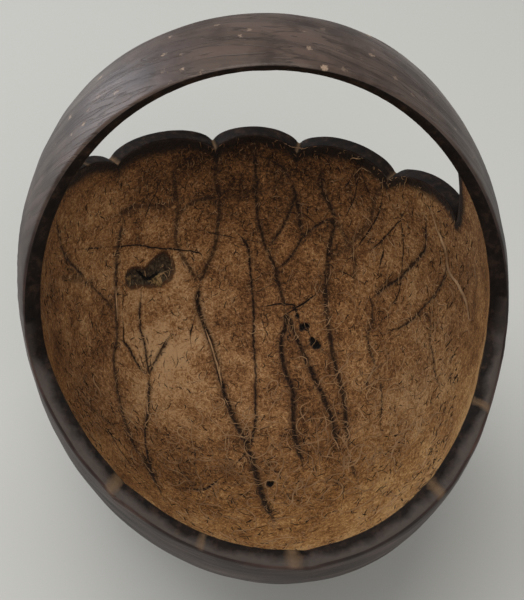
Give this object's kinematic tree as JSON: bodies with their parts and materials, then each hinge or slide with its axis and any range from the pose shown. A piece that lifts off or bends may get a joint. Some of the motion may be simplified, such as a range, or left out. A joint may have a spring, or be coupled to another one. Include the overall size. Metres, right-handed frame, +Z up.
{
  "type": "coconut shell basket",
  "caption": "Small open basket cut from a coconut shell, with a scalloped rim, an arched strap handle over the bowl, and a glued ring foot to stand on.",
  "frame": {"origin": "on the table, under the middle of the basket's outline seen from above", "axes": "+Z up; -Y towards the lower front lip of the bowl; the strap handle crosses from +X to -X"},
  "size_m": [0.11, 0.1196, 0.133],
  "materials": {
    "polished_shell": "coconut shell, scraped and hand-polished to a dark satin outside, raw brown felt inside",
    "ring_shell": "coconut shell slice, sanded and polished",
    "glue": "hardened amber resin glue"
  },
  "bodies": {
    "root": {"bowl": "polished_shell", "handle": "polished_shell", "foot_ring": "ring_shell", "glue_bead": "glue"}
  },
  "joints": []
}
